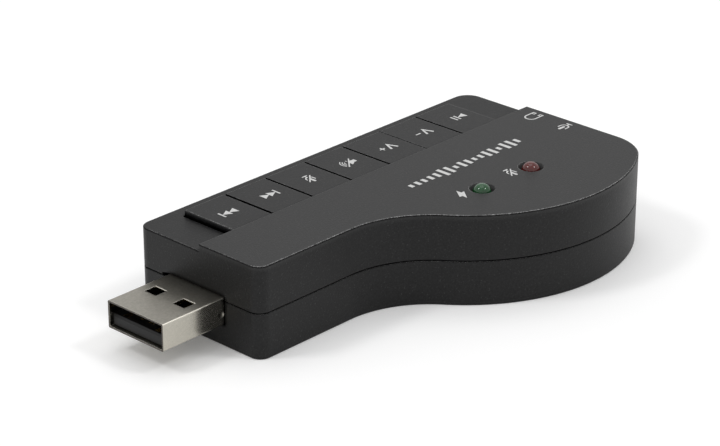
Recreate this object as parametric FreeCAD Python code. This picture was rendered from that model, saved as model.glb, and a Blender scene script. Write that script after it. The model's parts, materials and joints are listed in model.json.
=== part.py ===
# USB sound card: a two-part moulded case with a USB plug at one end, two audio sockets
# at the other, seven push keys along one side and two indicator lamps.
# Frame: origin under the middle of the object, +X from the plug to the sockets,
# +Y from the bulge to the key side, +Z up. Lengths in millimetres, angles in degrees.

import FreeCAD
import Part
import math
import os

Vector = FreeCAD.Vector
UP = Vector(0, 0, 1)
ALONG = Vector(1, 0, 0)

# Case outline
BODY_LENGTH = 76.1
BODY_WIDTH = 45.0
BODY_HEIGHT = 15.3
NECK_WIDTH = 26.4
BULGE_RADIUS = 28.85
BULGE_FROM_SOCKET_END = 19.8
WAIST_RADIUS = 16.8
END_CORNER_RADIUS = 8.6
KEY_CORNER_RADIUS = 3.0
PLUG_CORNER_RADIUS = 2.0
INNER_RADIUS = 0.4
EDGE_CHAMFER = 0.15

# Case walls and the joint between the shells
WALL = 1.8
ROOF = 1.5
FLOOR = 1.6
PARTING_HEIGHT = 7.6
REVEAL = 0.2
LIP_DEPTH = 1.3
LIP_GAP = 0.1
LEDGE_DROP = 1.1
LEDGE_WIDTH = 13.6
STEP_WALL = 1.5

# Keys, named in order from the plug end, with the gap after each but the last
KEY_NAMES = ["next", "previous", "mic_mute", "speaker_mute", "volume_up", "volume_down",
             "play_pause"]
KEY_GAPS = [0.5, 0.4, 0.4, 0.4, 0.15, 0.35]
KEY_ROW_FROM_PLUG_END = 6.95
KEY_ROW_FROM_SOCKET_END = 7.4
KEY_DEPTH = 10.7
KEY_DROP = 0.15
KEY_END_GAP = 0.35
KEY_SIDE_GAP = 0.15
KEY_EDGE_CHAMFER = 0.06
KEY_END_ROUND = 0.25
KEY_SKIN = 1.2
FLANGE_REACH = 0.7
FLANGE_THICKNESS = 1.0
STEM_WIDTH = 2.6

# Tactile switches
SWITCH_WIDTH = 6.0
SWITCH_BASE_HEIGHT = 3.2
SWITCH_HEIGHT = 4.3
SWITCH_COVER = 0.3
SWITCH_LEG_SPACING = 4.5
PLUNGER_WIDTH = 3.0
PLUNGER_GAP = 0.1
PLUNGER_SUNK = 1.2
PLUNGER_WELL = 1.8

# Terminals that lie on the board: width, reach and sheet thickness
SWITCH_LEG = (0.7, 0.9, 0.25)
SOCKET_LEG = (1.2, 0.8, 0.3)
CHIP_LEG = (0.35, 1.0, 0.2)

# USB plug
PLUG_WIDTH = 12.0
PLUG_HEIGHT = 4.5
PLUG_REACH = 12.45
PLUG_SEAT = 5.0
PLUG_BASE = 3.7
PLUG_FROM_KEY_SIDE = 12.85
PLUG_SHEET = 0.25
PLUG_ROUND = 0.2
PLUG_INNER_ROUND = 0.15
PLUG_GAP = 0.15
PLUG_RELIEF_WIDTH = 1.55
PLUG_RELIEF_RISE = 0.3
WINDOW_LENGTH = 2.25
WINDOW_WIDTH = 2.5
WINDOW_FROM_TIP = 5.9
WINDOW_SPACING = 6.2
DIMPLE_RADIUS = 0.6
DIMPLE_DEPTH = 0.15
DIMPLE_FROM_CASE = 0.7
DIMPLE_RISE = 1.85
EAR_LENGTH = 2.5
EAR_WIDTH = 1.4
EAR_FROM_REAR = 0.5
TONGUE_HEIGHT = 1.95
TONGUE_INSET = 0.55
TONGUE_CHAMFER = 0.3
MOUTH_DEPTH = 11.2

# USB contacts, each with its offset across the plug and its distance from the tip
CONTACT_LAYOUT = [(-3.5, 1.2), (-1.0, 2.2), (1.0, 2.2), (3.5, 1.2)]
CONTACT_WIDTH = 1.0
CONTACT_SHEET = 0.25
CONTACT_FOOT = 1.2

# Audio sockets, each with its distance from the key side
SOCKETS = {"headphone": 16.8, "microphone": 24.8}
SOCKET_BORE = 3.6
SOCKET_BORE_DEPTH = 13.5
SOCKET_BARREL = 5.0
SOCKET_BARREL_GAP = 0.1
SOCKET_RECESS = 0.1
SOCKET_WIDTH = 6.0
SOCKET_HEIGHT = 5.0
SOCKET_LENGTH = 12.5
SOCKET_SETBACK = 0.2
SOCKET_LEAD_IN = 0.2
SOCKET_LEG_STATIONS = [3.0, 9.5]

# Indicator lamps, each with its distance from the socket end
LEDS = {"green": 31.35, "red": 19.5}
LED_FROM_KEY_SIDE = 30.7
LED_RADIUS = 1.5
LED_LENGTH = 5.2
LED_FLANGE_RADIUS = 1.9
LED_FLANGE = 1.0
LED_PROUD = 0.8
LED_HOLE_RADIUS = 2.05
LEAD_SPACING = 2.54
LEAD_SIZE = 0.5

# Circuit board and the parts standing on it
BOARD_THICKNESS = 1.2
BOARD_GAP = 0.5
BOARD_NOTCH_GAP = 0.15
CHIP_SIZE = 7.0
CHIP_HEIGHT = 1.4
CHIP_PITCH = 0.8
CHIP_LEADS_PER_SIDE = 8
CHIP_PLACE = (-4.2, 20.7)
CRYSTAL_SIZE = (11.0, 4.6, 3.6)
CRYSTAL_ROUND = 2.2
CRYSTAL_PLACE = (8.6, 17.2)
CAN_RADIUS = 2.0
CAN_HEIGHT = 5.4
CAN_BASE_HEIGHT = 0.6
CAN_BASE_SIZE = 4.3
CAN_PLACES = [(-14.6, 17.2), (16.2, 23.2)]
CHIP_PART_SIZE = (1.6, 0.8)
CHIP_PART_PITCH = 1.7
CHIP_CAPACITOR_HEIGHT = 0.8
CHIP_CAPACITOR_COUNT = 5
CHIP_CAPACITOR_PLACE = (5.0, 23.0)
CHIP_RESISTOR_HEIGHT = 0.45
CHIP_RESISTOR_COUNT = 5
CHIP_RESISTOR_PLACE = (0.5, 27.0)

# Case screws and their bosses
SCREW_RADIUS = 1.0
SCREW_LENGTH = 8.0
SCREW_HEAD_RADIUS = 1.9
SCREW_HEAD_HEIGHT = 1.2
SCREW_SEAT = 1.8
SCREW_CROSS_LENGTH = 2.2
SCREW_CROSS_WIDTH = 0.5
SCREW_CROSS_DEPTH = 0.7
SCREW_HOLE_GAP = 0.15
SCREW_HEAD_GAP = 0.2
PILOT_SPARE = 0.5
LOWER_BOSS_RADIUS = 3.1
UPPER_BOSS_RADIUS = 2.4
NECK_SCREW = (14.0, 4.6)
BULGE_SCREW = (6.0, 6.7)
CORNER_SCREW = 4.6
POST_WIDTH = 2.6
POST_KEYS = [1, 3, 5]

# Positions that follow from the sizes above
CUT = 1.0
TOUCH = 1e-6
PLUG_TIP_X = -(BODY_LENGTH + PLUG_REACH) / 2
USB_END_X = PLUG_TIP_X + PLUG_REACH
SOCKET_END_X = USB_END_X + BODY_LENGTH
MIDDLE_X = (USB_END_X + SOCKET_END_X) / 2
KEY_SIDE_Y = BODY_WIDTH / 2
NECK_SIDE_Y = KEY_SIDE_Y - NECK_WIDTH
STEP_Y = KEY_SIDE_Y - LEDGE_WIDTH
LEDGE_Z = BODY_HEIGHT - LEDGE_DROP
LEDGE_UNDER_Z = LEDGE_Z - ROOF
MAIN_UNDER_Z = BODY_HEIGHT - ROOF
UPPER_RIM_Z = PARTING_HEIGHT + REVEAL / 2
LOWER_RIM_Z = PARTING_HEIGHT - REVEAL / 2
SHELF_Z = PARTING_HEIGHT - LIP_DEPTH
BOARD_TOP = PARTING_HEIGHT - SOCKET_HEIGHT / 2
BOARD_UNDER = BOARD_TOP - BOARD_THICKNESS
BULGE_X = SOCKET_END_X - BULGE_FROM_SOCKET_END
BULGE_Y = BULGE_RADIUS - BODY_WIDTH / 2
WAIST_Y = NECK_SIDE_Y - WAIST_RADIUS
WAIST_X = BULGE_X - math.sqrt((BULGE_RADIUS + WAIST_RADIUS) ** 2 - (BULGE_Y - WAIST_Y) ** 2)
END_X = SOCKET_END_X - END_CORNER_RADIUS
END_Y = BULGE_Y - math.sqrt((BULGE_RADIUS - END_CORNER_RADIUS) ** 2 - (END_X - BULGE_X) ** 2)
SLOT_X = USB_END_X + KEY_ROW_FROM_PLUG_END
SLOT_END_X = SOCKET_END_X - KEY_ROW_FROM_SOCKET_END
KEY_PITCH = (SLOT_END_X - SLOT_X) / len(KEY_NAMES)
KEY_INNER_Y = STEP_Y + KEY_SIDE_GAP
KEY_OUTER_Y = KEY_INNER_Y + KEY_DEPTH
KEY_ROW_Y = (KEY_INNER_Y + KEY_OUTER_Y) / 2
KEY_TOP = BODY_HEIGHT - KEY_DROP
FLANGE_Z = LEDGE_UNDER_Z - FLANGE_THICKNESS
SWITCH_TOP = BOARD_TOP + SWITCH_HEIGHT
SWITCH_BASE_TOP = BOARD_TOP + SWITCH_BASE_HEIGHT
PLUG_Y = KEY_SIDE_Y - PLUG_FROM_KEY_SIDE
PLUG_TOP = PLUG_BASE + PLUG_HEIGHT
PLUG_REAR_X = USB_END_X + PLUG_SEAT
TONGUE_TOP = PLUG_BASE + PLUG_SHEET + TONGUE_HEIGHT
SOCKET_FRONT_X = SOCKET_END_X - WALL - SOCKET_SETBACK
LED_TOP = BODY_HEIGHT + LED_PROUD
LED_Y = KEY_SIDE_Y - LED_FROM_KEY_SIDE
SCREW_TIP = SCREW_SEAT + SCREW_LENGTH
SCREW_PLACES = [
    (USB_END_X + NECK_SCREW[0], NECK_SIDE_Y + NECK_SCREW[1]),
    (BULGE_X + BULGE_SCREW[0], BULGE_SCREW[1] - BODY_WIDTH / 2),
    (SOCKET_END_X - CORNER_SCREW, KEY_SIDE_Y - CORNER_SCREW),
]


def box(x0, x1, y0, y1, z0, z1):
    """Block between two opposite corners."""
    return Part.makeBox(x1 - x0, y1 - y0, z1 - z0, Vector(x0, y0, z0))


def post(x, y, radius, z0, z1):
    """Upright round bar."""
    return Part.makeCylinder(radius, z1 - z0, Vector(x, y, z0), UP)


def rod(x0, x1, y, z, radius):
    """Round bar lying along the length of the case."""
    return Part.makeCylinder(radius, x1 - x0, Vector(x0, y, z), ALONG)


def on_board(place):
    """Point on the board from its distances to the case middle and to the key side."""
    return MIDDLE_X + place[0], KEY_SIDE_Y - place[1]


def square_post(x, y, width, z0, z1):
    """Upright square bar."""
    return box(x - width / 2, x + width / 2, y - width / 2, y + width / 2, z0, z1)


def rounded(shape, radius, wanted):
    """Shape with a round on each edge for which wanted(box of the edge) holds."""
    return shape.makeFillet(radius, [edge for edge in shape.Edges if wanted(edge.BoundBox)])


def chamfered(shape, size, wanted):
    """Shape with a chamfer on each edge for which wanted(box of the edge) holds."""
    return shape.makeChamfer(size, [edge for edge in shape.Edges if wanted(edge.BoundBox)])


def arc(x, y, radius, start, end):
    """Arc in plan about a centre, between two angles."""
    points = []
    for angle in (start, (start + end) / 2, end):
        turn = math.radians(angle)
        points.append(Vector(x + radius * math.cos(turn), y + radius * math.sin(turn), 0))
    return Part.Arc(*points).toShape()


def outline(inset):
    """Plan of the case moved inward: straight neck, hollow waist, round bulge, square key side."""
    plug_round = max(PLUG_CORNER_RADIUS - inset, INNER_RADIUS)
    key_round = max(KEY_CORNER_RADIUS - inset, INNER_RADIUS)
    usb_x = USB_END_X + inset + plug_round
    waist_angle = math.degrees(math.atan2(BULGE_Y - WAIST_Y, BULGE_X - WAIST_X))
    end_angle = 360 + math.degrees(math.atan2(END_Y - BULGE_Y, END_X - BULGE_X))
    arcs = [
        arc(usb_x, NECK_SIDE_Y + inset + plug_round, plug_round, 180, 270),
        arc(WAIST_X, WAIST_Y, WAIST_RADIUS + inset, 90, waist_angle),
        arc(BULGE_X, BULGE_Y, BULGE_RADIUS - inset, 180 + waist_angle, end_angle),
        arc(END_X, END_Y, END_CORNER_RADIUS - inset, end_angle, 360),
        arc(SOCKET_END_X - inset - key_round, KEY_SIDE_Y - inset - key_round, key_round, 0, 90),
        arc(usb_x, KEY_SIDE_Y - inset - plug_round, plug_round, 90, 180),
    ]
    edges = []
    for first, second in zip(arcs, arcs[1:] + arcs[:1]):
        edges.append(first)
        leave = first.valueAt(first.LastParameter)
        meet = second.valueAt(second.FirstParameter)
        if leave.distanceToPoint(meet) > TOUCH:
            edges.append(Part.makeLine(leave, meet))
    return Part.Wire(edges)


def slab(inset, z0, z1):
    """Plate or plug with the plan of the case."""
    plate = Part.Face(outline(inset)).extrude(UP * (z1 - z0))
    plate.translate(UP * z0)
    return plate


def edge_at(z):
    """Test that picks the edges lying in one level."""
    return lambda bounds: abs(bounds.ZMin - z) < TOUCH and abs(bounds.ZMax - z) < TOUCH


def lies_at(bounds, x):
    """True for an edge lying in one plane across the case, if that plane is given."""
    return x is not None and abs(bounds.XMin - x) < TOUCH and abs(bounds.XMax - x) < TOUCH


def main_side(shape, edge_y):
    """The part of a shape on the bulge side of a line along the case."""
    bounds = shape.BoundBox
    return shape.common(box(bounds.XMin - CUT, bounds.XMax + CUT, bounds.YMin - CUT, edge_y,
                            bounds.ZMin - CUT, bounds.ZMax + CUT))


def plug_opening():
    """Hole for the plug through the end walls, with a sloped relief on its key side."""
    x0 = USB_END_X - CUT
    x1 = USB_END_X + WALL + CUT
    half = PLUG_WIDTH / 2 + PLUG_GAP
    hole = box(x0, x1, PLUG_Y - half, PLUG_Y + half, PLUG_BASE - PLUG_GAP, PLUG_TOP + PLUG_GAP)
    relief_y = PLUG_Y + PLUG_WIDTH / 2 + PLUG_RELIEF_WIDTH
    corners = [
        Vector(x0, PLUG_Y, LOWER_RIM_Z),
        Vector(x0, relief_y, LOWER_RIM_Z),
        Vector(x0, relief_y, UPPER_RIM_Z + PLUG_RELIEF_RISE),
        Vector(x0, PLUG_Y + half, PLUG_TOP + PLUG_GAP),
        Vector(x0, PLUG_Y, PLUG_TOP + PLUG_GAP),
    ]
    relief = Part.Face(Part.makePolygon(corners + corners[:1])).extrude(ALONG * (x1 - x0))
    return hole.fuse(relief)


def socket_openings():
    """Round holes for the socket barrels through the end walls."""
    radius = SOCKET_BARREL / 2 + SOCKET_BARREL_GAP
    holes = []
    for from_key_side in SOCKETS.values():
        y = KEY_SIDE_Y - from_key_side
        holes.append(rod(SOCKET_END_X - WALL - CUT, SOCKET_END_X + CUT, y, PARTING_HEIGHT, radius))
    return holes


def top_shell():
    """Upper case half: main plate, key ledge, lip, screw bosses, key slot and lamp holes."""
    plate = chamfered(slab(0, UPPER_RIM_Z, BODY_HEIGHT), EDGE_CHAMFER, edge_at(BODY_HEIGHT))
    ledge = chamfered(slab(0, UPPER_RIM_Z, LEDGE_Z), EDGE_CHAMFER, edge_at(LEDGE_Z))
    shell = ledge.fuse(main_side(plate, STEP_Y))
    lip = slab(WALL / 2 + LIP_GAP, SHELF_Z, LEDGE_UNDER_Z)
    low_space = slab(WALL, SHELF_Z - CUT, LEDGE_UNDER_Z)
    high_space = main_side(slab(WALL, LEDGE_UNDER_Z - CUT, MAIN_UNDER_Z), STEP_Y - STEP_WALL)
    shell = shell.fuse(lip).cut(low_space.fuse(high_space))
    for x, y in SCREW_PLACES:
        under = LEDGE_UNDER_Z if y > STEP_Y - STEP_WALL else MAIN_UNDER_Z
        shell = shell.fuse(post(x, y, UPPER_BOSS_RADIUS, BOARD_TOP, under + ROOF / 2))
    cuts = [box(SLOT_X, SLOT_END_X, STEP_Y, KEY_OUTER_Y + KEY_SIDE_GAP, LEDGE_UNDER_Z - CUT,
                BODY_HEIGHT + CUT)]
    for from_end in LEDS.values():
        cuts.append(post(SOCKET_END_X - from_end, LED_Y, LED_HOLE_RADIUS, MAIN_UNDER_Z - CUT,
                         BODY_HEIGHT + CUT))
    for x, y in SCREW_PLACES:
        cuts.append(post(x, y, SCREW_RADIUS, BOARD_TOP - CUT, SCREW_TIP + PILOT_SPARE))
    cuts.append(plug_opening())
    cuts.extend(socket_openings())
    return shell.cut(cuts).removeSplitter()


def bottom_shell():
    """Lower case half: floor, seat for the lip, screw bosses and posts under the key row."""
    shell = chamfered(slab(0, 0, LOWER_RIM_Z), EDGE_CHAMFER, edge_at(0))
    shell = shell.cut([slab(WALL, FLOOR, PARTING_HEIGHT), slab(WALL / 2, SHELF_Z, PARTING_HEIGHT)])
    stands = [post(x, y, LOWER_BOSS_RADIUS, FLOOR / 2, BOARD_UNDER) for x, y in SCREW_PLACES]
    for index in POST_KEYS:
        stands.append(square_post(key_middle(index), KEY_ROW_Y, POST_WIDTH, FLOOR / 2, BOARD_UNDER))
    shell = shell.fuse(stands)
    cuts = [plug_opening()]
    cuts.extend(socket_openings())
    for x, y in SCREW_PLACES:
        cuts.append(post(x, y, SCREW_HEAD_RADIUS + SCREW_HEAD_GAP, -CUT, SCREW_SEAT))
        cuts.append(post(x, y, SCREW_RADIUS + SCREW_HOLE_GAP, -CUT, BOARD_UNDER + CUT))
    return shell.cut(cuts).removeSplitter()


def case_screws():
    """Self-tapping screws with cross-slotted heads, driven from below."""
    screws = []
    head_z = SCREW_SEAT - SCREW_HEAD_HEIGHT
    for x, y in SCREW_PLACES:
        screw = post(x, y, SCREW_HEAD_RADIUS, head_z, SCREW_SEAT)
        screw = screw.fuse(post(x, y, SCREW_RADIUS, head_z, SCREW_TIP))
        for across_x, across_y in ((SCREW_CROSS_LENGTH, SCREW_CROSS_WIDTH),
                                   (SCREW_CROSS_WIDTH, SCREW_CROSS_LENGTH)):
            screw = screw.cut(box(x - across_x / 2, x + across_x / 2, y - across_y / 2,
                                  y + across_y / 2, head_z - CUT, head_z + SCREW_CROSS_DEPTH))
        screws.append(screw.removeSplitter())
    return screws


def key_ends(index):
    """Where a key starts and stops along the row."""
    start = SLOT_X + KEY_PITCH * index
    stop = start + KEY_PITCH
    start += KEY_END_GAP if index == 0 else KEY_GAPS[index - 1] / 2
    stop -= KEY_END_GAP if index == len(KEY_NAMES) - 1 else KEY_GAPS[index] / 2
    return start, stop


def key_middle(index):
    """Middle of a key along the row."""
    return sum(key_ends(index)) / 2


def key(index):
    """Hollow key cap with a stop flange under the case roof and a stem over its switch.

    The first and the last key are rounded where the row ends.
    """
    x0, x1 = key_ends(index)
    row_end = {0: x0, len(KEY_NAMES) - 1: x1}.get(index)
    cap = box(x0, x1, KEY_INNER_Y, KEY_OUTER_Y, FLANGE_Z, KEY_TOP)
    top = edge_at(KEY_TOP)
    cap = chamfered(cap, KEY_EDGE_CHAMFER,
                    lambda bounds: top(bounds) and not lies_at(bounds, row_end))
    if row_end is not None:
        cap = rounded(cap, KEY_END_ROUND, lambda bounds: top(bounds) and lies_at(bounds, row_end))
    flange = box(x0, x1, STEP_Y - FLANGE_REACH, KEY_OUTER_Y + KEY_SIDE_GAP + FLANGE_REACH,
                 FLANGE_Z, LEDGE_UNDER_Z)
    hollow = box(x0 + KEY_SKIN, x1 - KEY_SKIN, KEY_INNER_Y + KEY_SKIN, KEY_OUTER_Y - KEY_SKIN,
                 FLANGE_Z - CUT, KEY_TOP - KEY_SKIN)
    stem = square_post(key_middle(index), KEY_ROW_Y, STEM_WIDTH, SWITCH_TOP,
                       KEY_TOP - KEY_SKIN / 2)
    return cap.fuse(flange).cut(hollow).fuse(stem).removeSplitter()


def switch_base(index):
    """Square switch base with the well that guides its plunger."""
    x = key_middle(index)
    base = square_post(x, KEY_ROW_Y, SWITCH_WIDTH, BOARD_TOP, SWITCH_BASE_TOP)
    return base.cut(square_post(x, KEY_ROW_Y, PLUNGER_WIDTH + 2 * PLUNGER_GAP,
                                SWITCH_BASE_TOP - PLUNGER_WELL, SWITCH_BASE_TOP + CUT))


def switch_plunger(index):
    """Square switch plunger, just under the key stem."""
    return square_post(key_middle(index), KEY_ROW_Y, PLUNGER_WIDTH, SWITCH_BASE_TOP - PLUNGER_SUNK,
                       SWITCH_TOP)


def switch_covers():
    """Metal plates that close the switches round their plungers."""
    covers = []
    top = SWITCH_BASE_TOP + SWITCH_COVER
    for index in range(len(KEY_NAMES)):
        x = key_middle(index)
        plate = square_post(x, KEY_ROW_Y, SWITCH_WIDTH, SWITCH_BASE_TOP, top)
        covers.append(plate.cut(square_post(x, KEY_ROW_Y, PLUNGER_WIDTH + 2 * PLUNGER_GAP,
                                            SWITCH_BASE_TOP - CUT, top + CUT)))
    return covers


def leg(x, y, turn, sizes):
    """Flat terminal on the board, from the side of its part outward."""
    width, reach, sheet = sizes
    shape = box(0, reach, -width / 2, width / 2, 0, sheet)
    shape.rotate(Vector(0, 0, 0), UP, turn)
    shape.translate(Vector(x, y, BOARD_TOP))
    return shape


def switch_legs():
    """Four terminals on each switch, two to a side."""
    legs = []
    half = SWITCH_WIDTH / 2
    for index in range(len(KEY_NAMES)):
        for offset in (-SWITCH_LEG_SPACING / 2, SWITCH_LEG_SPACING / 2):
            x = key_middle(index) + offset
            legs.append(leg(x, KEY_ROW_Y + half, 90, SWITCH_LEG))
            legs.append(leg(x, KEY_ROW_Y - half, -90, SWITCH_LEG))
    return legs


def usb_shell():
    """Folded plug shell with windows above and below, side dimples and two board ears."""
    half = PLUG_WIDTH / 2
    shell = box(PLUG_TIP_X, PLUG_REAR_X, PLUG_Y - half, PLUG_Y + half, PLUG_BASE, PLUG_TOP)
    shell = rounded(shell, PLUG_ROUND, lambda bounds: bounds.XLength > PLUG_REACH)
    inner = box(PLUG_TIP_X - CUT, PLUG_REAR_X + CUT, PLUG_Y - half + PLUG_SHEET,
                PLUG_Y + half - PLUG_SHEET, PLUG_BASE + PLUG_SHEET, PLUG_TOP - PLUG_SHEET)
    shell = shell.cut(rounded(inner, PLUG_INNER_ROUND,
                              lambda bounds: bounds.XLength > PLUG_REACH))
    window_x = PLUG_TIP_X + WINDOW_FROM_TIP
    for side in (-1, 1):
        window_y = PLUG_Y + side * WINDOW_SPACING / 2
        for z in (PLUG_BASE + PLUG_SHEET / 2, PLUG_TOP - PLUG_SHEET / 2):
            shell = shell.cut(box(window_x, window_x + WINDOW_LENGTH, window_y - WINDOW_WIDTH / 2,
                                  window_y + WINDOW_WIDTH / 2, z - PLUG_SHEET, z + PLUG_SHEET))
        ball = (DIMPLE_RADIUS ** 2 + DIMPLE_DEPTH ** 2) / (2 * DIMPLE_DEPTH)
        shell = shell.cut(Part.makeSphere(ball, Vector(
            USB_END_X - DIMPLE_FROM_CASE, PLUG_Y + side * (half + ball - DIMPLE_DEPTH),
            PLUG_BASE + DIMPLE_RISE)))
        ear_x = PLUG_REAR_X - EAR_FROM_REAR
        near = PLUG_Y + side * (half - PLUG_SHEET / 2)
        far = PLUG_Y + side * (half + EAR_WIDTH)
        shell = shell.fuse(box(ear_x - EAR_LENGTH, ear_x, min(near, far), max(near, far),
                               BOARD_TOP, BOARD_TOP + PLUG_SHEET))
    return shell.removeSplitter()


def usb_contacts():
    """Four contact strips along the tongue, bent down to the board behind it."""
    contacts = []
    for offset, from_tip in CONTACT_LAYOUT:
        y0 = PLUG_Y + offset - CONTACT_WIDTH / 2
        y1 = y0 + CONTACT_WIDTH
        bend_x = PLUG_REAR_X + CONTACT_SHEET
        strip = box(PLUG_TIP_X + from_tip, bend_x, y0, y1, TONGUE_TOP - CONTACT_SHEET, TONGUE_TOP)
        drop = box(PLUG_REAR_X, bend_x, y0, y1, BOARD_TOP, TONGUE_TOP)
        foot = box(PLUG_REAR_X, PLUG_REAR_X + CONTACT_FOOT, y0, y1, BOARD_TOP,
                   BOARD_TOP + CONTACT_SHEET)
        contacts.append(strip.fuse([drop, foot]).removeSplitter())
    return contacts


def usb_insulator():
    """Tongue in the plug mouth with the block behind it, grooved for the contacts."""
    half = PLUG_WIDTH / 2 - PLUG_SHEET
    low = PLUG_BASE + PLUG_SHEET
    high = PLUG_TOP - PLUG_SHEET
    front = PLUG_TIP_X + TONGUE_INSET
    tongue = box(front, PLUG_REAR_X, PLUG_Y - half, PLUG_Y + half, low, TONGUE_TOP)
    tongue = chamfered(tongue, TONGUE_CHAMFER, lambda bounds: lies_at(bounds, front))
    block = box(PLUG_TIP_X + MOUTH_DEPTH, PLUG_REAR_X, PLUG_Y - half, PLUG_Y + half, low, high)
    body = rounded(tongue.fuse(block).removeSplitter(), PLUG_INNER_ROUND,
                   lambda bounds: bounds.YLength < TOUCH and bounds.ZLength < TOUCH
                   and abs(bounds.ZMin - TONGUE_TOP) > TOUCH)
    return body.cut(usb_contacts()).removeSplitter()


def circuit_board():
    """Board with the plan of the case, notched for the plug and drilled for the screws."""
    board = slab(WALL + BOARD_GAP, BOARD_UNDER, BOARD_TOP)
    half = PLUG_WIDTH / 2 + BOARD_NOTCH_GAP
    cuts = [box(USB_END_X, PLUG_REAR_X + BOARD_NOTCH_GAP, PLUG_Y - half, PLUG_Y + half,
                BOARD_UNDER - CUT, BOARD_TOP + CUT)]
    for x, y in SCREW_PLACES:
        cuts.append(post(x, y, SCREW_RADIUS + SCREW_HOLE_GAP, BOARD_UNDER - CUT, BOARD_TOP + CUT))
    return board.cut(cuts)


def led(from_end):
    """Round lamp with a base flange and a domed tip."""
    x = SOCKET_END_X - from_end
    base_z = LED_TOP - LED_LENGTH
    dome_z = LED_TOP - LED_RADIUS
    flange = post(x, LED_Y, LED_FLANGE_RADIUS, base_z, base_z + LED_FLANGE)
    barrel = post(x, LED_Y, LED_RADIUS, base_z, dome_z)
    dome = Part.makeSphere(LED_RADIUS, Vector(x, LED_Y, dome_z), UP, 0, 90, 360)
    return flange.fuse([barrel, dome]).removeSplitter()


def led_leads():
    """Lamp leads, standing on the board."""
    leads = []
    for from_end in LEDS.values():
        for side in (-1, 1):
            x = SOCKET_END_X - from_end + side * LEAD_SPACING / 2
            leads.append(square_post(x, LED_Y, LEAD_SIZE, BOARD_TOP, LED_TOP - LED_LENGTH))
    return leads


def socket(from_key_side):
    """Audio socket: block on the board, barrel through the end wall and a bore for the plug."""
    y = KEY_SIDE_Y - from_key_side
    face_x = SOCKET_END_X - SOCKET_RECESS
    body = box(SOCKET_FRONT_X - SOCKET_LENGTH, SOCKET_FRONT_X, y - SOCKET_WIDTH / 2,
               y + SOCKET_WIDTH / 2, BOARD_TOP, BOARD_TOP + SOCKET_HEIGHT)
    body = body.fuse(rod(SOCKET_FRONT_X - CUT, face_x, y, PARTING_HEIGHT, SOCKET_BARREL / 2))
    bore = rod(face_x - SOCKET_BORE_DEPTH, face_x + CUT, y, PARTING_HEIGHT, SOCKET_BORE / 2)
    lead_in = Part.makeCone(SOCKET_BORE / 2, SOCKET_BORE / 2 + SOCKET_LEAD_IN, SOCKET_LEAD_IN,
                            Vector(face_x - SOCKET_LEAD_IN, y, PARTING_HEIGHT), ALONG)
    return body.cut([bore, lead_in]).removeSplitter()


def socket_legs(from_key_side):
    """Socket terminals, two to a side."""
    y = KEY_SIDE_Y - from_key_side
    legs = []
    for station in SOCKET_LEG_STATIONS:
        x = SOCKET_FRONT_X - station
        legs.append(leg(x, y + SOCKET_WIDTH / 2, 90, SOCKET_LEG))
        legs.append(leg(x, y - SOCKET_WIDTH / 2, -90, SOCKET_LEG))
    return legs


def codec_chip():
    """Body of the audio chip."""
    x, y = on_board(CHIP_PLACE)
    return square_post(x, y, CHIP_SIZE, BOARD_TOP, BOARD_TOP + CHIP_HEIGHT)


def codec_leads():
    """Leads on all four sides of the audio chip."""
    x, y = on_board(CHIP_PLACE)
    half = CHIP_SIZE / 2
    leads = []
    for number in range(CHIP_LEADS_PER_SIDE):
        shift = (number - (CHIP_LEADS_PER_SIDE - 1) / 2) * CHIP_PITCH
        leads.append(leg(x + half, y + shift, 0, CHIP_LEG))
        leads.append(leg(x + shift, y + half, 90, CHIP_LEG))
        leads.append(leg(x - half, y + shift, 180, CHIP_LEG))
        leads.append(leg(x + shift, y - half, 270, CHIP_LEG))
    return leads


def crystal():
    """Crystal can with round ends."""
    x, y = on_board(CRYSTAL_PLACE)
    length, width, height = CRYSTAL_SIZE
    can = box(x - length / 2, x + length / 2, y - width / 2, y + width / 2, BOARD_TOP,
              BOARD_TOP + height)
    return rounded(can, CRYSTAL_ROUND, lambda bounds: abs(bounds.ZLength - height) < TOUCH)


def can_capacitors():
    """Round cans of the electrolytic capacitors."""
    cans = []
    for place in CAN_PLACES:
        x, y = on_board(place)
        cans.append(post(x, y, CAN_RADIUS, BOARD_TOP + CAN_BASE_HEIGHT, BOARD_TOP + CAN_HEIGHT))
    return cans


def can_bases():
    """Square feet of the electrolytic capacitors."""
    bases = []
    for place in CAN_PLACES:
        x, y = on_board(place)
        bases.append(square_post(x, y, CAN_BASE_SIZE, BOARD_TOP, BOARD_TOP + CAN_BASE_HEIGHT))
    return bases


def chip_row(place, count, height):
    """Row of small chip parts across the board."""
    x, y = on_board(place)
    length, width = CHIP_PART_SIZE
    row = []
    for number in range(count):
        start = x + (number - (count - 1) / 2) * CHIP_PART_PITCH - width / 2
        row.append(box(start, start + width, y - length / 2, y + length / 2, BOARD_TOP,
                       BOARD_TOP + height))
    return row


def write(name, shape):
    """Write one node, a single solid or a group of like solids."""
    if isinstance(shape, list):
        shape = Part.makeCompound(shape)
    shape.exportStep("parts/" + name + ".step")


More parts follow.
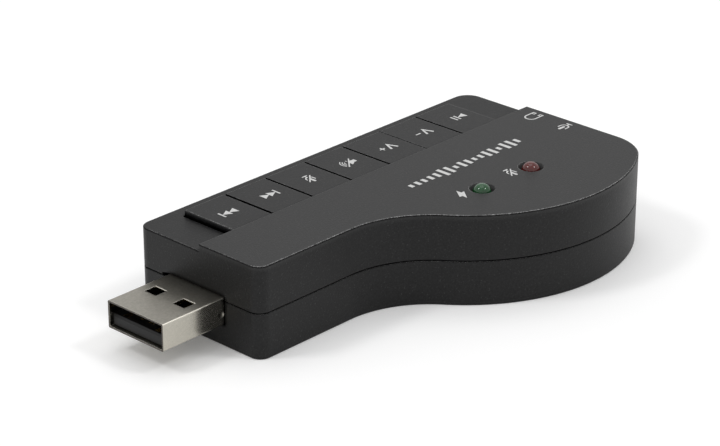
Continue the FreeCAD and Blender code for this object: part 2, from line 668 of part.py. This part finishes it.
os.makedirs("parts", exist_ok=True)
write("top_shell", top_shell())
write("bottom_shell", bottom_shell())
write("case_screws", case_screws())
for key_index, key_name in enumerate(KEY_NAMES):
    write("key_" + key_name, key(key_index))
    write("switch_base_" + key_name, switch_base(key_index))
    write("switch_plunger_" + key_name, switch_plunger(key_index))
write("switch_covers", switch_covers())
write("switch_legs", switch_legs())
write("usb_shell", usb_shell())
write("usb_insulator", usb_insulator())
write("usb_contacts", usb_contacts())
write("circuit_board", circuit_board())
for led_name, led_place in LEDS.items():
    write("led_" + led_name, led(led_place))
write("led_leads", led_leads())
for socket_name, socket_place in SOCKETS.items():
    write(socket_name + "_socket", socket(socket_place))
    write(socket_name + "_legs", socket_legs(socket_place))
write("codec_chip", codec_chip())
write("codec_leads", codec_leads())
write("crystal", crystal())
write("can_capacitors", can_capacitors())
write("can_bases", can_bases())
write("chip_capacitors", chip_row(CHIP_CAPACITOR_PLACE, CHIP_CAPACITOR_COUNT, CHIP_CAPACITOR_HEIGHT))
write("chip_resistors", chip_row(CHIP_RESISTOR_PLACE, CHIP_RESISTOR_COUNT, CHIP_RESISTOR_HEIGHT))
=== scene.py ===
"""Looks of a USB sound card: surface finishes, printed signs, floor, light and camera."""

import json
import math
from collections import namedtuple

import bmesh
import bpy
from mathutils import Matrix, Vector
from mathutils.geometry import delaunay_2d_cdt


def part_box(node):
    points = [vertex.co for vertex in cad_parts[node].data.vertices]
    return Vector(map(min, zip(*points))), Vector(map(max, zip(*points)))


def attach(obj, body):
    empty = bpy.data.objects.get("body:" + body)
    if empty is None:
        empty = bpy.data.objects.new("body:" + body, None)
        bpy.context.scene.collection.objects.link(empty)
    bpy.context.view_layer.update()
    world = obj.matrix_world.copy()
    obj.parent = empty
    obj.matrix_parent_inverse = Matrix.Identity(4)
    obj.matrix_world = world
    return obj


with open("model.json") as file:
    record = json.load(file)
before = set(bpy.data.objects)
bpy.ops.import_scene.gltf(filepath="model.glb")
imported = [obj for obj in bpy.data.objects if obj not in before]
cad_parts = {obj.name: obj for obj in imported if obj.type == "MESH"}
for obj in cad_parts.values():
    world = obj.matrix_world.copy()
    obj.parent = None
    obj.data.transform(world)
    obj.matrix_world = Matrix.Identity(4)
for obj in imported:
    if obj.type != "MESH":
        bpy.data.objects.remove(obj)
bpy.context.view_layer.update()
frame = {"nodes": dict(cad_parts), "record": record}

MM = 0.001

# Camera, fitted to the photograph
CAMERA_PLACE = (-0.26858, -0.24841, 0.17682)
CAMERA_HEADING = -46.566
CAMERA_PITCH = 65.622
CAMERA_ROLL = -0.05
CAMERA_LENS = 128.88
CAMERA_SENSOR = 36.0

# Studio: a small softbox to the left and to the right, a wide one over a pale floor, a long weak one
# behind, and a fill from all round, with its strength at the horizon and overhead.
# Each softbox has its direction, its width and height, and its power.
SOFTBOXES = {
    "left": ((-0.49, 0.33, 0.81), (0.16, 0.16), 1.2),
    "right": ((0.30, -0.51, 0.81), (0.16, 0.16), 1.2),
    "top": ((0.12, 0.14, 0.98), (0.6, 0.6), 1.2),
    "back": ((0.60, 0.565, 0.57), (0.6, 0.12), 0.2),
}
SOFTBOX_DISTANCE = 0.9
FILL_STRENGTHS = (0.2, 0.85)
FLOOR_SIDE = 8.0
FLOOR_DROP = 0.02 * MM
FLOOR_COLOUR = (0.95, 0.95, 0.95, 1.0)
FLOOR_GLOW = 0.1

# Outer plastic: how far a wall shades another in millimetres, the gloss of faces that look up as a
# share of the walls', and the gloss below the plate as a share of the plate's, with the heights in
# millimetres between which it changes
SHADE_REACH = 0.8
TOP_GLOSS = 0.62
LOW_GLOSS = 0.68
LOW_HEIGHTS = (14.3, 15.0)

# The seam between the shells is lighter than the gaps above it: its share of the light on an open
# wall, and the heights in millimetres between which that fades out
SEAM_LIGHT = 0.35
SEAM_HEIGHTS = (9.0, 10.0)

# Taper inside the lamp holes, in millimetres, and the number of steps round it
LAMP_RIM_RADIUS = 2.04
LAMP_RIM_DROP = 0.02
LAMP_RIM_DEPTH = 0.9
LAMP_RIM_TAPER = 0.4
LAMP_RIM_STEPS = 72

# Printed signs, in millimetres, and the step of their arcs in degrees
INK_HEIGHT = 0.02
STROKE = 0.26
SLASH = 0.22
ARC_STEP = 15
LEVEL_BARS = 18
LEVEL_PITCH = 1.5
LEVEL_WIDTH = 0.7
LEVEL_PLACE = (18.7, 0.4)
LAMP_SIGN_SHIFT = (-3.95, 0.75)
SOCKET_SIGN_FROM_END = 2.85

# A sign's outlines, the outlines cut from them, and those drawn on top
Sign = namedtuple("Sign", "shapes cuts tops", defaults=([], []))


# Materials


class Graph:
    """Node graph of one material, from its surface coordinates to its shader."""

    def __init__(self, name):
        self.material = bpy.data.materials.new(name)
        self.material.use_nodes = True
        self.tree = self.material.node_tree
        self.shader = self.tree.nodes["Principled BSDF"]
        self.place = self.add("ShaderNodeTexCoord").outputs["Object"]

    def add(self, kind, **values):
        """New node, with its sockets and settings by name; a socket as a value makes a link."""
        node = self.tree.nodes.new(kind)
        for name, value in values.items():
            self.set(node, name, value)
        return node

    def set(self, node, name, value):
        """One input or setting of a node."""
        title = name.replace("_", " ")
        socket = next((each for each in node.inputs if each.name.lower() == title), None)
        if socket is None:
            setattr(node, name, value)
        elif isinstance(value, bpy.types.NodeSocket):
            self.tree.links.new(value, socket)
        else:
            socket.default_value = value

    def shade(self, **values):
        """Inputs of the surface shader."""
        for name, value in values.items():
            self.set(self.shader, name, value)

    def noise(self, size, detail=2.0, stretch=(1, 1, 1)):
        """Noise whose blotches are about one size in millimetres, drawn out along the axes."""
        place = self.add("ShaderNodeMapping", vector=self.place, scale=[1 / s for s in stretch])
        noise = self.add("ShaderNodeTexNoise", vector=place.outputs["Vector"], detail=detail)
        self.set(noise, "scale", 1 / (size * MM))
        return noise.outputs["Fac"]

    def scale(self, factor, low, high, start=0.3, end=0.7):
        """Values between low and high, by a factor from start to end."""
        node = self.add("ShaderNodeMapRange", value=factor)
        for name, value in (("from_min", start), ("from_max", end), ("to_min", low), ("to_max", high)):
            self.set(node, name, value)
        return node.outputs["Result"]

    def tint(self, factor, low, high, start=0.3, end=0.7):
        """Colours between low and high, by a factor from start to end."""
        node = self.add("ShaderNodeValToRGB", fac=factor)
        for stop, place, colour in zip(node.color_ramp.elements, (start, end), (low, high)):
            stop.position = place
            stop.color = (*colour, 1.0)
        return node.outputs["Color"]

    def curve(self, factor, *stops):
        """Values along a factor, through stops of place and value."""
        node = self.add("ShaderNodeValToRGB", fac=factor)
        ramp = node.color_ramp.elements
        ramp[0].position = stops[0][0]
        ramp[1].position = stops[-1][0]
        for place, _ in stops[1:-1]:
            ramp.new(place)
        for mark, (_, value) in zip(ramp, stops):
            mark.color = (value, value, value, 1.0)
        return node.outputs["Color"]

    def join(self, operation, *factors):
        """Some values taken together by one operation, such as their product."""
        total = factors[0]
        for factor in factors[1:]:
            node = self.add("ShaderNodeMath", operation=operation)
            self.tree.links.new(total, node.inputs[0])
            self.tree.links.new(factor, node.inputs[1])
            total = node.outputs["Value"]
        return total

    def part(self, vector, axis):
        """One component of a vector."""
        return self.add("ShaderNodeSeparateXYZ", vector=vector).outputs[axis]

    def face(self):
        """Normal of the bare face."""
        return self.add("ShaderNodeNewGeometry").outputs["Normal"]

    def openness(self, reach):
        """1 where nothing stands within reach in millimetres, less in gaps and corners."""
        return self.add("ShaderNodeAmbientOcclusion", distance=reach * MM).outputs["AO"]

    def blend(self, factor, first, second):
        """Two colours mixed by a factor."""
        node = self.add("ShaderNodeMixRGB", fac=factor)
        for name, colour in (("color1", first), ("color2", second)):
            self.set(node, name, colour if isinstance(colour, bpy.types.NodeSocket) else (*colour, 1.0))
        return node.outputs["Color"]

    def rounded(self, radius):
        """Surface normal with the edges rounded off."""
        return self.add("ShaderNodeBevel", radius=radius * MM).outputs["Normal"]

    def bump(self, height, depth, normal=None):
        """Normal of a relief of one depth in millimetres."""
        node = self.add("ShaderNodeBump", height=height, distance=depth * MM)
        if normal is not None:
            self.set(node, "normal", normal)
        return node.outputs["Normal"]


def outer_plastic(name, depth, specular, edge, highlight_level, near, far, dulled):
    """Black plastic of the case and keys: spark-eroded grain with sparkles painted in as lighter specks,
    walls a little glossier than the top, edges with a painted highlight above and less gloss below, and
    painted shade in gaps and corners. Near and far are the shares of the painted highlight on the edges
    towards the bulge's side and the key side."""
    graph = Graph(name)
    grain = graph.noise(0.3, detail=3.0)
    rounded = graph.rounded(edge)
    upward = graph.part(rounded, "Z")
    # Painted highlight: the upper side of rounded edges gets a lighter base colour, more on the edges
    # that face the bulge's side or the key side, by the near and far shares
    edges = graph.curve(upward, (0.74, 0.0), (0.86, 1.0), (0.97, 1.0), (0.998, 0.0))
    painted_highlight = graph.join("MULTIPLY", edges, graph.scale(graph.part(rounded, "Y"), near, far, -0.15, 0.05))
    gloss = graph.curve(upward, (0.03, 1.0), (0.25, dulled), (0.68, dulled), (0.78, TOP_GLOSS))
    height = graph.part(graph.place, "Z")
    # Painted shade: where walls stand within reach, in gaps and corners, the base colour goes towards
    # black and the specular level down; less below the seam's height, and not at all at the foot
    footing = graph.scale(height, 1.0, 0.0, SHADE_REACH * MM, 1.5 * SHADE_REACH * MM)
    seam = graph.scale(height, SEAM_LIGHT, 0.0, *(MM * z for z in SEAM_HEIGHTS))
    open_share = graph.scale(graph.openness(SHADE_REACH), 0.0, 1.0, 0.7, 0.98)
    clear = graph.join("MAXIMUM", footing, seam, open_share)
    lowered = graph.scale(height, LOW_GLOSS, 1.0, *(MM * z for z in LOW_HEIGHTS))
    shine = graph.join("MULTIPLY", graph.scale(clear, 0.0, specular, 0.0, 1.0), gloss, lowered)
    # Painted glints: sparse lighter specks in the base colour
    sparkle = graph.curve(graph.noise(0.25, detail=2.0), (0.62, 0.0), (0.74, 1.0))
    plain = graph.tint(grain, (0.003, 0.003, 0.0032), (0.012, 0.012, 0.0123), 0.35, 0.75)
    spotted = graph.blend(sparkle, plain, (0.03, 0.03, 0.03))
    highlight_colour = graph.tint(grain, (highlight_level / 5, highlight_level / 5, highlight_level / 5), (highlight_level, highlight_level, highlight_level), 0.4, 0.65)
    # The plain value serves programs that leave out the link made below
    graph.shade(specular_ior_level=specular * TOP_GLOSS)
    # Base colour with painted shade in gaps and corners and a painted highlight on the edges
    graph.shade(
        base_color=graph.blend(clear, (0.001, 0.001, 0.001), graph.blend(painted_highlight, spotted, highlight_colour)),
        roughness=graph.scale(grain, 0.42, 0.52),
        specular_ior_level=shine,
        normal=graph.bump(grain, depth, rounded),
    )
    return graph.material


def moulded_plastic(name, dark, light, grain, depth, roughness, specular, edge):
    """Moulded plastic with a fine grain."""
    graph = Graph(name)
    fine = graph.noise(grain, detail=3.0)
    graph.shade(
        base_color=graph.tint(fine, dark, light, 0.35, 0.75),
        roughness=graph.scale(fine, *roughness),
        specular_ior_level=specular,
        normal=graph.bump(fine, depth, graph.rounded(edge)),
    )
    return graph.material


def plug_plating():
    """Nickel plating of the plug: a gritty, rougher top whose base colour is darker than the sides' as
    painted shade, a painted highlight along the rounded corners, and a dark cut edge round the mouth."""
    graph = Graph("plug_metal")
    streaks = graph.noise(0.2, detail=4.0, stretch=(8, 1, 1))
    pits = graph.noise(0.35, detail=4.0)
    rounded = graph.rounded(0.22)
    upward = graph.scale(graph.part(graph.face(), "Z"), 0.0, 1.0, 0.4, 0.6)
    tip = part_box("usb_shell")[0].x
    cut = graph.scale(graph.part(graph.place, "X"), 1.0, 0.0, tip, tip + 0.05 * MM)
    # Painted shade: the top's plating is a darker copy of the sides'
    side = graph.tint(pits, (0.46, 0.44, 0.383), (0.51, 0.485, 0.423))
    top = graph.tint(pits, (0.218, 0.208, 0.181), (0.272, 0.258, 0.225))
    plating = graph.blend(upward, side, top)
    # Painted highlight: a light band in the base colour along the rounded corners
    corner = graph.curve(graph.part(rounded, "Z"), (0.2, 0.0), (0.35, 1.0), (0.8, 1.0), (0.93, 0.0))
    highlighted_plating = graph.blend(corner, plating, (0.82, 0.79, 0.71))
    smooth = graph.scale(upward, 0.18, 0.38, 0.0, 1.0)
    grit = graph.join("MULTIPLY", graph.noise(0.2, detail=3.0), upward)
    graph.shade(
        base_color=graph.blend(cut, highlighted_plating, (0.10, 0.09, 0.08)),
        roughness=graph.join("MULTIPLY", smooth, graph.scale(streaks, 0.9, 1.1)),
        metallic=1.0,
        normal=graph.bump(grit, 0.012, graph.bump(streaks, 0.00004, rounded)),
    )
    return graph.material


def plated_metal(name, dark, light, grain, depth, roughness, stretch, edge):
    """Plated sheet metal with rolling streaks and small spots of wear."""
    graph = Graph(name)
    streaks = graph.noise(grain, detail=4.0, stretch=stretch)
    spots = graph.noise(grain * 4, detail=4.0)
    graph.shade(
        base_color=graph.tint(spots, dark, light),
        roughness=graph.scale(streaks, *roughness),
        metallic=1.0,
        normal=graph.bump(streaks, depth, graph.rounded(edge)),
    )
    return graph.material


def lamp_epoxy(name, dark, light, transmission):
    """Tinted casting resin of an unlit lamp, a little cloudy."""
    graph = Graph(name)
    cloud = graph.noise(0.5, detail=3.0)
    graph.shade(
        base_color=graph.tint(cloud, dark, light),
        roughness=graph.scale(cloud, 0.03, 0.06),
        transmission_weight=transmission,
        specular_ior_level=0.5,
        ior=1.5,
        normal=graph.bump(cloud, 0.0005),
    )
    return graph.material


def board_mask():
    """Green solder mask over copper tracks and a woven core."""
    graph = Graph("board")
    tracks = graph.add("ShaderNodeTexBrick", vector=graph.place)
    graph.set(tracks, "scale", 1 / (4 * MM))
    graph.set(tracks, "mortar_size", 0.03)
    weave = graph.noise(0.4, stretch=(6, 1, 1))
    mask = graph.tint(weave, (0.02, 0.12, 0.05), (0.03, 0.17, 0.07))
    graph.shade(
        base_color=graph.blend(tracks.outputs["Fac"], mask, (0.06, 0.28, 0.12)),
        roughness=graph.scale(weave, 0.25, 0.4),
        normal=graph.bump(tracks.outputs["Fac"], 0.03),
    )
    return graph.material


def sign_ink():
    """White pad-print ink, thin in places."""
    graph = Graph("sign_ink")
    cover = graph.noise(0.15, detail=3.0)
    graph.shade(
        base_color=graph.tint(cover, (0.50, 0.50, 0.50), (0.68, 0.68, 0.67)),
        roughness=graph.scale(cover, 0.5, 0.7),
        normal=graph.bump(cover, 0.004),
    )
    return graph.material


def black_plastic(name, level, spread, roughness):
    """Plain black plastic of a part inside the case or in the plug."""
    dark = (level, level, level)
    light = (level * spread, level * spread, level * spread)
    return moulded_plastic(name, dark, light, 0.3, 0.003, roughness, 0.25, 0.08)


def finishes():
    """One material for each slot of the record."""
    tin = ((0.55, 0.55, 0.54), (0.74, 0.74, 0.72))
    return {
        "case_plastic": outer_plastic("case_plastic", depth=0.025, specular=0.39, edge=0.24, highlight_level=0.5,
                                      near=1.0, far=0.15, dulled=0.06),
        "key_plastic": outer_plastic("key_plastic", depth=0.02, specular=0.3, edge=0.2, highlight_level=0.3,
                                     near=0.1, far=1.0, dulled=0.8),
        "plug_metal": plug_plating(),
        "insulator_plastic": black_plastic("insulator_plastic", 0.003, 2.0, (0.34, 0.44)),
        # The contacts' gold is darkened as painted shade, since they sit inside the dark mouth
        "contact_gold": plated_metal("contact_gold", (0.24, 0.16, 0.05), (0.34, 0.23, 0.08), 0.2, 0.0005,
                                     (0.2, 0.32), (10, 1, 1), 0.05),
        "board": board_mask(),
        "switch_plastic": black_plastic("switch_plastic", 0.012, 2.0, (0.35, 0.5)),
        "terminal_metal": plated_metal("terminal_metal", *tin, 0.2, 0.001, (0.22, 0.38), (3, 1, 1), 0.03),
        "socket_plastic": black_plastic("socket_plastic", 0.010, 2.0, (0.3, 0.42)),
        "led_green": lamp_epoxy("led_green", (0.003, 0.068, 0.014), (0.008, 0.110, 0.028), 0.3),
        "led_red": lamp_epoxy("led_red", (0.105, 0.005, 0.004), (0.155, 0.013, 0.010), 0.3),
        "chip_plastic": black_plastic("chip_plastic", 0.015, 2.0, (0.5, 0.65)),
        "can_metal": plated_metal("can_metal", (0.6, 0.6, 0.61), (0.76, 0.76, 0.77), 0.2, 0.001,
                                  (0.25, 0.4), (1, 1, 12), 0.2),
        "ceramic_tan": moulded_plastic("ceramic_tan", (0.36, 0.25, 0.14), (0.48, 0.36, 0.22), 0.1,
                                       0.003, (0.3, 0.45), 0.5, 0.03),
        "screw_steel": plated_metal("screw_steel", (0.16, 0.16, 0.17), (0.28, 0.28, 0.3), 0.2, 0.002,
                                    (0.28, 0.45), (1, 1, 4), 0.1),
    }


def dress_nodes():
    """Give every solid of the frame the finish of its slot."""
    materials = finishes()
    for part in frame["record"]["subparts"]:
        for slot in frame["nodes"][part["node"]].material_slots:
            slot.material = materials[part["material_slot"]]


# Printed signs
def bar(left, right, low, high):
    """Upright rectangle."""
    return [(left, low), (right, low), (right, high), (left, high)]


def arc(middle, radius, start, end):
    """Points along an arc, angles in degrees."""
    steps = max(2, round(abs(end - start) / ARC_STEP))
    points = []
    for step in range(steps + 1):
        turn = math.radians(start + (end - start) * step / steps)
        points.append((middle[0] + radius * math.cos(turn), middle[1] + radius * math.sin(turn)))
    return points


def stroke(points, width=STROKE):
    """Outline of a pen stroke with round ends along some points."""
    line = [Vector(point) for point in points]
    ways = [(after - before).normalized() for before, after in zip(line, line[1:])]
    sides = []
    for before, after in zip([ways[0]] + ways, ways + [ways[-1]]):
        way = (before + after).normalized()
        sides.append(Vector((-way.y, way.x)) * (width / 2) / max(way.dot(before), 0.5))
    right = [point - side for point, side in zip(line, sides)]
    left = [point + side for point, side in zip(line, sides)]
    ahead = math.degrees(math.atan2(ways[-1].y, ways[-1].x))
    behind = math.degrees(math.atan2(ways[0].y, ways[0].x))
    front = arc(line[-1], width / 2, ahead - 90, ahead + 90)
    back = arc(line[0], width / 2, behind + 90, behind + 270)
    outline = right[:-1] + front + left[-2:0:-1] + back
    return [tuple(point) for point in outline]


def mirrored(shapes):
    """Shapes turned left to right."""
    return [[(-u, v) for u, v in reversed(shape)] for shape in shapes]


def skip_sign():
    """Two arrowheads against a bar: next track."""
    arrows = [[(start, -0.8), (start + 1.4, 0), (start, 0.8)] for start in (-1.6, -0.25)]
    return Sign(arrows + [bar(1.2, 1.5, -0.9, 0.9)])


def skip_back_sign():
    """Two arrowheads against a bar: previous track."""
    return Sign(mirrored(skip_sign().shapes))


def microphone_sign():
    """Microphone in its holder, on a foot."""
    capsule = stroke([(0, 0.1), (0, 1.2)], 0.5)
    holder = stroke([(-0.75, 0.55)] + arc((0, 0), 0.75, 180, 360) + [(0.75, 0.55)])
    stem = stroke([(0, -0.75), (0, -1.4)])
    foot = stroke([(-0.5, -1.4), (0.5, -1.4)])
    return Sign([capsule, holder, stem, foot])


def resized(shapes, factor):
    """Shapes made larger or smaller about their origin."""
    return [[(factor * u, factor * v) for u, v in shape] for shape in shapes]


def muted(shapes, start, end):
    """Shapes with a slash over them and a clear gap beside it."""
    gap = Vector((SLASH, -SLASH)) * 0.8
    clear = stroke([Vector(start) + gap, Vector(end) + gap], SLASH)
    return Sign(shapes, [clear], [stroke([start, end], SLASH)])


def microphone_mute_sign():
    """Crossed-out microphone."""
    return muted(resized(microphone_sign().shapes, 0.9), (-0.9, -0.95), (0.9, 0.9))


def speaker_mute_sign():
    """Crossed-out loudspeaker with sound waves."""
    horn = [(-1.5, -0.4), (-0.9, -0.4), (0.0, -0.95), (0.0, 0.95), (-0.9, 0.4), (-1.5, 0.4)]
    waves = [stroke(arc((0.25, 0), radius, -60, 60), 0.18) for radius in (0.5, 0.9, 1.3)]
    return muted([horn] + waves, (-1.1, -1.15), (1.1, 1.2))


def volume_sign(marks):
    """Letter V with a mark beside it."""
    letter = stroke([(-1.4, 0.88), (-0.7, -0.83), (0.0, 0.88)], 0.4)
    return Sign([letter] + marks)


def volume_up_sign():
    """V and a plus."""
    return volume_sign([bar(0.65, 1.75, -0.13, 0.13), bar(1.07, 1.33, -0.55, 0.55)])


def volume_down_sign():
    """V and a minus."""
    return volume_sign([bar(0.65, 1.75, -0.13, 0.13)])


def play_pause_sign():
    """Arrowhead and two bars."""
    arrow = [(-1.35, -0.75), (0.25, 0), (-1.35, 0.75)]
    return Sign([arrow, bar(0.3, 0.6, -0.85, 0.85), bar(1.05, 1.35, -0.85, 0.85)])


def bolt_sign():
    """Lightning bolt: power."""
    bolt = [(-0.40, -1.5), (1.0, 0.45), (0.42, 0.47), (0.45, 1.5), (-1.1, -0.5), (-0.45, -0.47)]
    return Sign([bolt])


def headphone_sign():
    """Headband with two ear cups."""
    band = stroke([(-1.0, -1.4)] + arc((0, 0.5), 1.0, 180, 0) + [(1.0, -1.4)])
    cups = []
    for side in (-1, 1):
        cup = [(1.0 * side, -0.85), (0.45 * side, -0.85), (0.45 * side, -1.4), (1.0 * side, -1.4)]
        cups.append(stroke(cup, 0.2))
    return Sign([band] + cups)


def level_sign():
    """Row of level bars, as on a sound meter."""
    bars = []
    for number in range(LEVEL_BARS):
        middle = LEVEL_PITCH * (number - (LEVEL_BARS - 1) / 2)
        swing = abs(math.sin(0.9 * number + 0.4) * math.sin(0.37 * number + 0.6))
        half = 0.5 + 0.95 * swing
        bars.append(bar(middle - LEVEL_WIDTH / 2, middle + LEVEL_WIDTH / 2, -half, half))
    return Sign(bars)


# The sign of each key, and its shift from the key's middle in millimetres
KEY_SIGNS = {
    "next": (skip_sign, (-0.15, -0.2)),
    "previous": (skip_back_sign, (0.35, 0.1)),
    "mic_mute": (microphone_mute_sign, (0.2, -0.15)),
    "speaker_mute": (speaker_mute_sign, (0.25, -0.15)),
    "volume_up": (volume_up_sign, (0.35, -0.25)),
    "volume_down": (volume_down_sign, (0.35, -0.2)),
    "play_pause": (play_pause_sign, (0.7, 0.0)),
}


def flat_faces(sign):
    """Points and triangles of a sign: its shapes less its cuts, then what is drawn on top."""
    shapes, cuts, tops = sign
    points = []
    faces = []
    for outline in shapes + cuts + tops:
        faces.append(range(len(points), len(points) + len(outline)))
        points.extend(Vector(point) for point in outline)
    made, _, triangles, _, _, owners = delaunay_2d_cdt(points, [], [list(f) for f in faces], 1, 1e-6)
    first_top = len(shapes) + len(cuts)
    kept = []
    for triangle, owner in zip(triangles, owners):
        drawn = any(number < len(shapes) for number in owner)
        cut = any(len(shapes) <= number < first_top for number in owner)
        on_top = any(number >= first_top for number in owner)
        if on_top or (drawn and not cut):
            kept.append(triangle)
    return made, kept


def add_piece(name, shape, material, body):
    """New piece from a mesh under work, riding on a body."""
    mesh = bpy.data.meshes.new(name)
    bmesh.ops.recalc_face_normals(shape, faces=shape.faces)
    shape.to_mesh(mesh)
    shape.free()
    mesh.materials.append(material)
    piece = bpy.data.objects.new(name, mesh)
    bpy.context.scene.collection.objects.link(piece)
    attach(piece, body)
    return piece


def print_sign(name, sign, place, right, body, ink):
    """Thin prism of ink on a face looking up, with the sign's right-hand direction in plan."""
    points, triangles = flat_faces(sign)
    across = Vector((*right, 0))
    upward = Vector((0, 0, 1)).cross(across)
    shape = bmesh.new()
    low = [shape.verts.new(Vector(place) + MM * (across * p.x + upward * p.y)) for p in points]
    flat = [shape.faces.new([low[i] for i in triangle]) for triangle in triangles]
    raised = bmesh.ops.extrude_face_region(shape, geom=flat)["geom"]
    bmesh.ops.translate(shape, vec=(0, 0, INK_HEIGHT * MM),
                        verts=[part for part in raised if isinstance(part, bmesh.types.BMVert)])
    bmesh.ops.delete(shape, geom=[vert for vert in shape.verts if not vert.link_faces], context="VERTS")
    return add_piece(name, shape, ink, body)


def middle_of(node):
    """Middle of a solid in plan, and its top."""
    low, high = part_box(node)
    return (low.x + high.x) / 2, (low.y + high.y) / 2, high.z


def print_signs():
    """The signs on the keys, beside the lamps and by the sockets."""
    ink = sign_ink()
    from_key_side = (-1, 0)
    from_socket_end = (0, 1)
    for name, (sign, (shift_x, shift_y)) in KEY_SIGNS.items():
        x, y, top = middle_of("key_" + name)
        print_sign("sign_" + name, sign(), (x + shift_x * MM, y + shift_y * MM, top), from_key_side,
                   name + "_key", ink)
    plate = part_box("top_shell")[1].z
    shift_x, shift_y = LAMP_SIGN_SHIFT
    for lamp, sign in (("green", bolt_sign), ("red", microphone_mute_sign)):
        x, y, _ = middle_of("led_" + lamp)
        print_sign("sign_by_led_" + lamp, sign(), (x + shift_x * MM, y + shift_y * MM, plate),
                   from_key_side, "case", ink)
    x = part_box("top_shell")[1].x - SOCKET_SIGN_FROM_END * MM
    for socket, sign, shift_y in (("headphone", headphone_sign, -0.4),
                                  ("microphone", microphone_sign, 0.9)):
        _, y, _ = middle_of(socket + "_socket")
        print_sign("sign_" + socket, sign(), (x, y + shift_y * MM, plate), from_socket_end, "case", ink)
    x, y = LEVEL_PLACE
    print_sign("sign_level_bars", level_sign(), (x * MM, y * MM, plate), from_key_side, "case", ink)


def add_lamp_rims():
    """The taper inside each lamp hole: a ring with a sloping inner wall."""
    # Painted light: the rim's plastic is lighter than the case's, so the hole's inner wall looks lit
    plastic = black_plastic("lamp_rim", 0.025, 2.0, (0.4, 0.5))
    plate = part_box("top_shell")[1].z / MM
    low = plate - LAMP_RIM_DEPTH
    profile = ((LAMP_RIM_RADIUS, plate - LAMP_RIM_DROP), (LAMP_RIM_RADIUS, low),
               (LAMP_RIM_RADIUS - LAMP_RIM_TAPER, low))
    for lamp in ("green", "red"):
        x, y, _ = middle_of("led_" + lamp)
        shape = bmesh.new()
        rings = []
        for number in range(LAMP_RIM_STEPS):
            turn = 2 * math.pi * number / LAMP_RIM_STEPS
            way = Vector((math.cos(turn), math.sin(turn), 0))
            rings.append([shape.verts.new(Vector((x, y, z * MM)) + way * radius * MM)
                          for radius, z in profile])
        for here, there in zip(rings, rings[1:] + rings[:1]):
            for corner in range(len(profile)):
                shape.faces.new((here[corner - 1], here[corner], there[corner], there[corner - 1]))
        add_piece("lamp_rim_" + lamp, shape, plastic, "case")


# Studio
def is_seen_directly(tree):
    """1 for rays from the camera, or seen in a gloss or through a clear body; 0 for diffuse light."""
    path = tree.nodes.new("ShaderNodeLightPath")
    total = path.outputs["Is Camera Ray"]
    for name in ("Is Glossy Ray", "Is Transmission Ray"):
        either = tree.nodes.new("ShaderNodeMath")
        either.operation = "MAXIMUM"
        tree.links.new(total, either.inputs[0])
        tree.links.new(path.outputs[name], either.inputs[1])
        total = either.outputs["Value"]
    return total


def add_world():
    """White surroundings that give a gentle fill, most of it from overhead."""
    world = bpy.data.worlds.new("studio")
    bpy.context.scene.world = world
    world.use_nodes = True
    tree = world.node_tree
    direction = tree.nodes.new("ShaderNodeTexCoord")
    split = tree.nodes.new("ShaderNodeSeparateXYZ")
    tree.links.new(direction.outputs["Generated"], split.inputs["Vector"])
    fill = tree.nodes.new("ShaderNodeMapRange")
    tree.links.new(split.outputs["Z"], fill.inputs["Value"])
    for name, strength in zip(("To Min", "To Max"), FILL_STRENGTHS):
        fill.inputs[name].default_value = strength
    level = tree.nodes.new("ShaderNodeMapRange")
    tree.links.new(is_seen_directly(tree), level.inputs["Value"])
    tree.links.new(fill.outputs["Result"], level.inputs["To Min"])
    level.inputs["To Max"].default_value = 1.0
    background = tree.nodes["Background"]
    background.inputs["Color"].default_value = (1, 1, 1, 1)
    tree.links.new(level.outputs["Result"], background.inputs["Strength"])


def add_floor():
    """Pale floor that keeps the shadow and shows white where it is lit."""
    mesh = bpy.data.meshes.new("floor")
    half = FLOOR_SIDE / 2
    corners = [(-half, -half), (half, -half), (half, half), (-half, half)]
    mesh.from_pydata([(x, y, -FLOOR_DROP) for x, y in corners], [], [(0, 1, 2, 3)])
    floor = bpy.data.objects.new("floor", mesh)
    bpy.context.scene.collection.objects.link(floor)
    graph = Graph("floor")
    graph.shade(base_color=FLOOR_COLOUR, roughness=0.9, specular_ior_level=0.0,
                emission_color=(1, 1, 1, 1))
    glow = graph.add("ShaderNodeMapRange", value=is_seen_directly(graph.tree))
    glow.inputs["To Max"].default_value = FLOOR_GLOW
    graph.set(graph.shader, "emission_strength", glow.outputs["Result"])
    mesh.materials.append(graph.material)


def add_softboxes():
    """Softboxes aimed at the object."""
    for name, (direction, (width, height), power) in SOFTBOXES.items():
        data = bpy.data.lights.new("softbox_" + name, "AREA")
        data.shape = "RECTANGLE"
        data.size = width
        data.size_y = height
        data.energy = power
        lamp = bpy.data.objects.new("softbox_" + name, data)
        away = Vector(direction).normalized()
        lamp.location = away * SOFTBOX_DISTANCE
        lamp.rotation_euler = away.to_track_quat("Z", "Y").to_euler()
        bpy.context.scene.collection.objects.link(lamp)


def add_camera():
    """Camera where the photograph was taken from."""
    data = bpy.data.cameras.new("camera")
    data.lens = CAMERA_LENS
    data.sensor_width = CAMERA_SENSOR
    camera = bpy.data.objects.new("camera", data)
    camera.matrix_world = (
        Matrix.Translation(CAMERA_PLACE)
        @ Matrix.Rotation(math.radians(CAMERA_HEADING), 4, "Z")
        @ Matrix.Rotation(math.radians(CAMERA_PITCH), 4, "X")
        @ Matrix.Rotation(math.radians(CAMERA_ROLL), 4, "Z")
    )
    bpy.context.scene.collection.objects.link(camera)
    bpy.context.scene.camera = camera


# The whole scene
dress_nodes()
print_signs()
add_lamp_rims()
add_world()
add_floor()
add_softboxes()
add_camera()
bpy.context.scene.view_settings.view_transform = "Standard"
